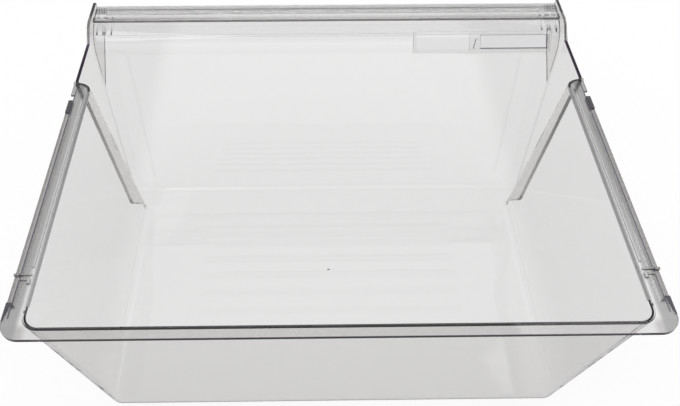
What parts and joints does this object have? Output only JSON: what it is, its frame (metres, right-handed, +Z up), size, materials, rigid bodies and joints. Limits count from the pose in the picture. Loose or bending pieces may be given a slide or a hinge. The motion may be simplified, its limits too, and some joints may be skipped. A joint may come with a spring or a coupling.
{
  "type": "crisper drawer",
  "caption": "Clear refrigerator crisper pan with side rails, a clip-on handle bar and a sliding humidity vent in its front wall.",
  "frame": {"origin": "middle of the bounding box's bottom, on the plane the floor rests on", "axes": "+X across the drawer to the end with the humidity window, +Y the way the drawer is pulled out, +Z up"},
  "size_m": [0.43, 0.342, 0.173],
  "materials": {
    "clear_shell": "clear, polished",
    "clear_bar": "clear, polished",
    "clear_trim": "clear, polished",
    "slider_plastic": "clear, lightly frosted",
    "smoke_pad": "smoke grey, satin"
  },
  "bodies": {
    "drawer": {"pan": "clear_shell", "handle_bar": "clear_bar", "left_bar_clip": "clear_trim", "right_bar_clip": "clear_trim", "slider_track": "clear_trim", "left_front_stop": "smoke_pad", "right_front_stop": "smoke_pad", "left_rear_glide": "smoke_pad", "right_rear_glide": "smoke_pad"},
    "vent_slider": {"humidity_slider": "slider_plastic"}
  },
  "joints": [
    {"name": "vent_slide", "type": "slide", "parent": "drawer", "child": "vent_slider", "axis": [1, 0, 0], "range_m": [-0.048, 0]}
  ]
}
